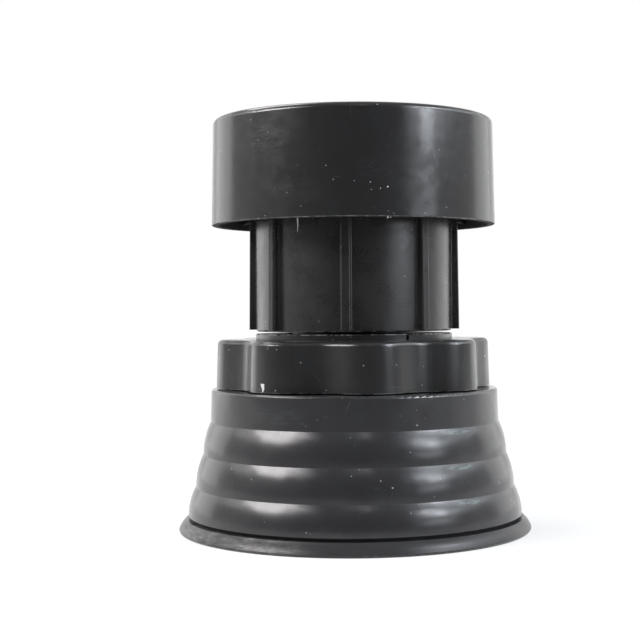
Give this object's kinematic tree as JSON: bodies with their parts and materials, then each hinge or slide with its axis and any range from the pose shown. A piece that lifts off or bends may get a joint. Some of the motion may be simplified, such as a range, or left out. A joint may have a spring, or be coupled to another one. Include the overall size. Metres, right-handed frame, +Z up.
{
  "type": "furniture riser",
  "caption": "Round height-adjusting furniture riser: a cup on a ribbed, threaded column, a lobed hand knob and a stepped conical base on a flared rubber foot ring.",
  "frame": {"origin": "centre of the foot ring's sole, on the floor", "axes": "+Z up along the screw axis, -Y towards the viewer of the picture, +X to the viewer's right"},
  "size_m": [0.081, 0.081, 0.094],
  "materials": {
    "foot_rubber": "matt moulded rubber",
    "base_plastic": "satin black moulded polypropylene",
    "clip_plastic": "moulded acetal",
    "knob_plastic": "glossy black moulded plastic",
    "column_plastic": "glossy black moulded plastic",
    "cup_plastic": "glossy black moulded plastic",
    "pad_rubber": "matt rubber"
  },
  "bodies": {
    "base": {"foot_ring": "foot_rubber", "base_cone": "base_plastic"},
    "knob": {"adjusting_knob": "knob_plastic", "retaining_clip": "clip_plastic"},
    "cup": {"lift_column": "column_plastic", "riser_cup": "cup_plastic", "cup_pad": "pad_rubber"}
  },
  "joints": [
    {"name": "knob_turn", "type": "hinge", "parent": "base", "child": "knob", "pos_m": [0, 0, 0.0327], "axis": [0, 0, -1], "range_deg": [0, 1800]},
    {"name": "cup_rise", "type": "slide", "parent": "base", "child": "cup", "axis": [0, 0, 1], "range_m": [0, 0.025]}
  ],
  "couplings": [
    {"joint": "cup_rise", "follows": "knob_turn", "m_per_rad": 0.00079576}
  ]
}
